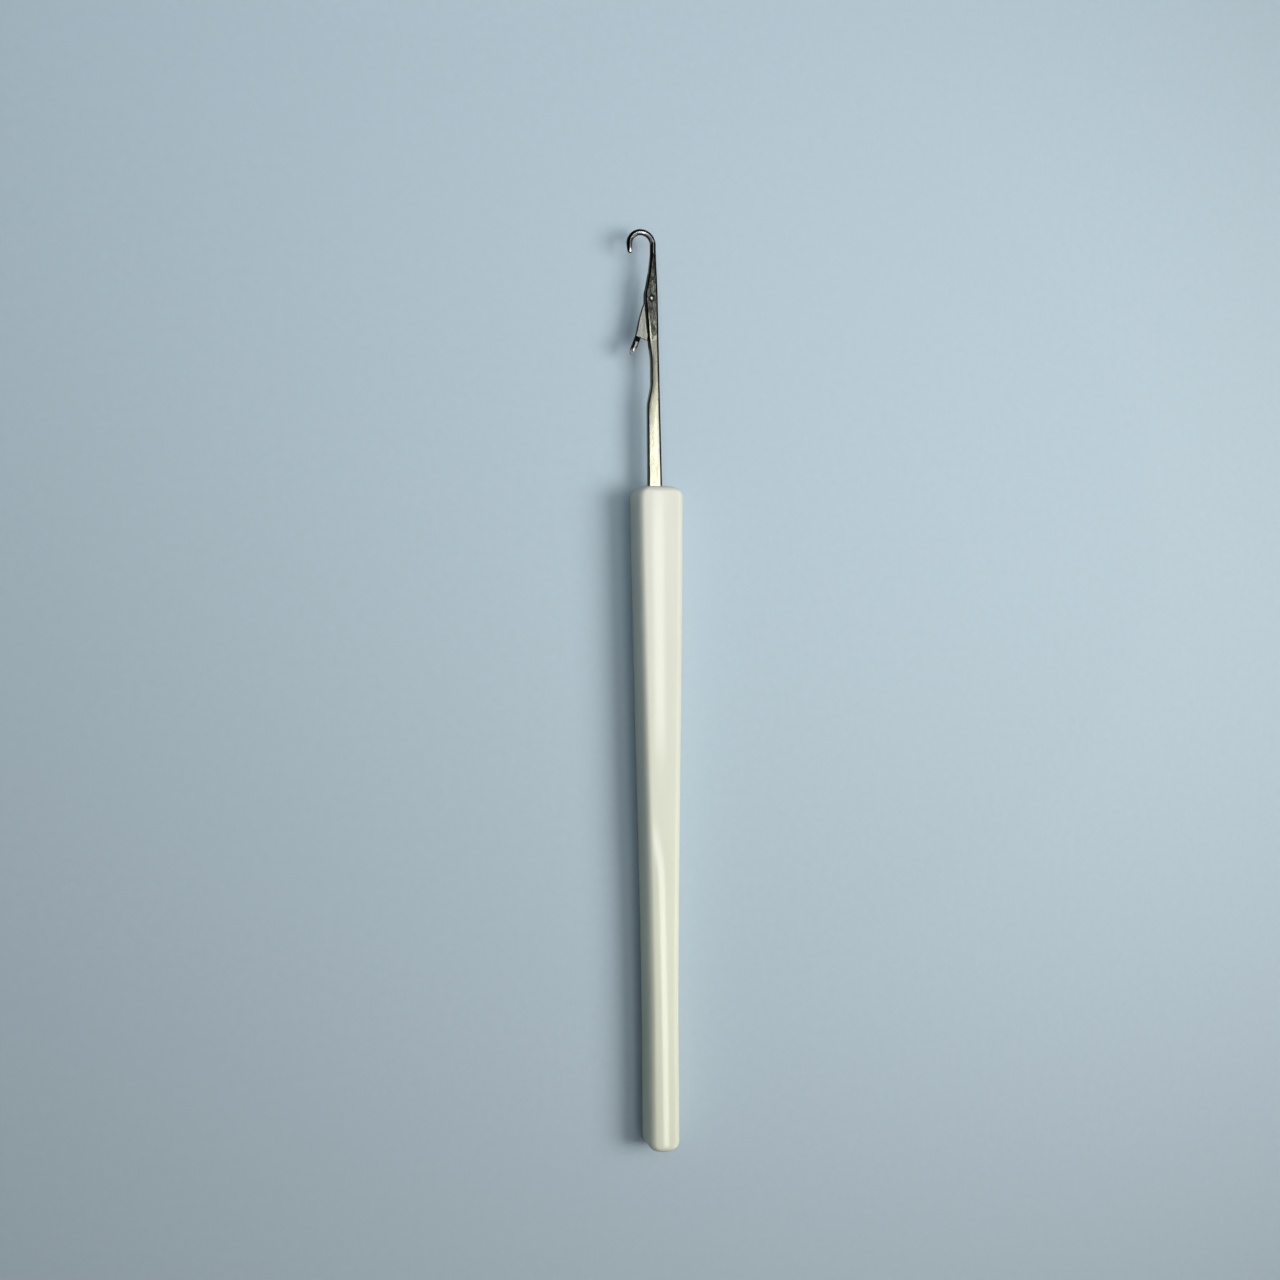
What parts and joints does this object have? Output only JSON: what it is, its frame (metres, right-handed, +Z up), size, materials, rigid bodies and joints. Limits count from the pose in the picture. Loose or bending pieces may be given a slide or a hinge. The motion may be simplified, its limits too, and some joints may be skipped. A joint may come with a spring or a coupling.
{
  "type": "knitting machine latch tool",
  "caption": "Slim moulded handle with a steel latch needle: an open hook, and a hinged latch with a spooned tip that swings shut on it.",
  "frame": {"origin": "middle of the handle's flat underside, which the tool rests on", "axes": "+Y runs along the tool from the handle to the hook, +Z points up from the resting face, and the hook and the latch open towards -X"},
  "size_m": [0.0091, 0.1602, 0.007],
  "materials": {
    "handle_plastic": "glossy ivory-white moulded plastic",
    "needle_steel": "tumbled bright spring steel",
    "rivet_steel": "polished steel pin, heads ground low",
    "latch_steel": "stamped bright steel"
  },
  "bodies": {
    "tool": {"handle": "handle_plastic", "needle": "needle_steel", "rivet": "rivet_steel"},
    "latch": {"latch": "latch_steel"}
  },
  "joints": [
    {"name": "latch_pivot", "type": "hinge", "parent": "tool", "child": "latch", "pos_m": [-0.00076, 0.0904, 0.0035], "axis": [0, 0, 1], "range_deg": [-133.2, 11]}
  ]
}
